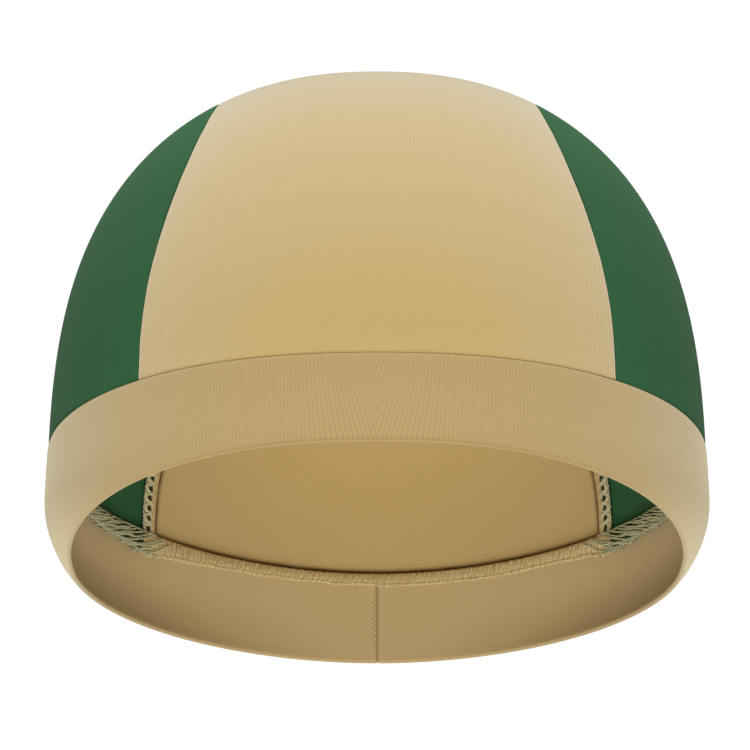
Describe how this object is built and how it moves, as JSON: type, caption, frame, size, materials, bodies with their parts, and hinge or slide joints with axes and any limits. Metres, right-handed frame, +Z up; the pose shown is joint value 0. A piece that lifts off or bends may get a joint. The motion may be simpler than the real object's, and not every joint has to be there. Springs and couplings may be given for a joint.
{
  "type": "helmet liner cap",
  "caption": "Close-fitting stretch-knit skull cap in its worn shape: tan centre panel, green side panels, doubled folded band all round, overlocked seams inside.",
  "frame": {"origin": "top of the hollow, on the crown's underside, where it sits on the crown of a head", "axes": "+Z up out of the crown, rim plane level, forehead towards -Y, wearer's left towards +X"},
  "size_m": [0.1618, 0.1904, 0.1278],
  "materials": {
    "tan_knit": "smooth matt stretch knit, fine upright wales",
    "green_knit": "smooth matt stretch knit",
    "band_knit": "smooth matt stretch knit, doubled, with fine upright wales",
    "overlock_thread": "fluffy looped overlock thread"
  },
  "bodies": {
    "root": {"centre_panel": "tan_knit", "side_panel_left": "green_knit", "side_panel_right": "green_knit", "band": "band_knit", "panel_seam_left": "overlock_thread", "panel_seam_right": "overlock_thread", "band_seam": "overlock_thread"}
  },
  "joints": []
}
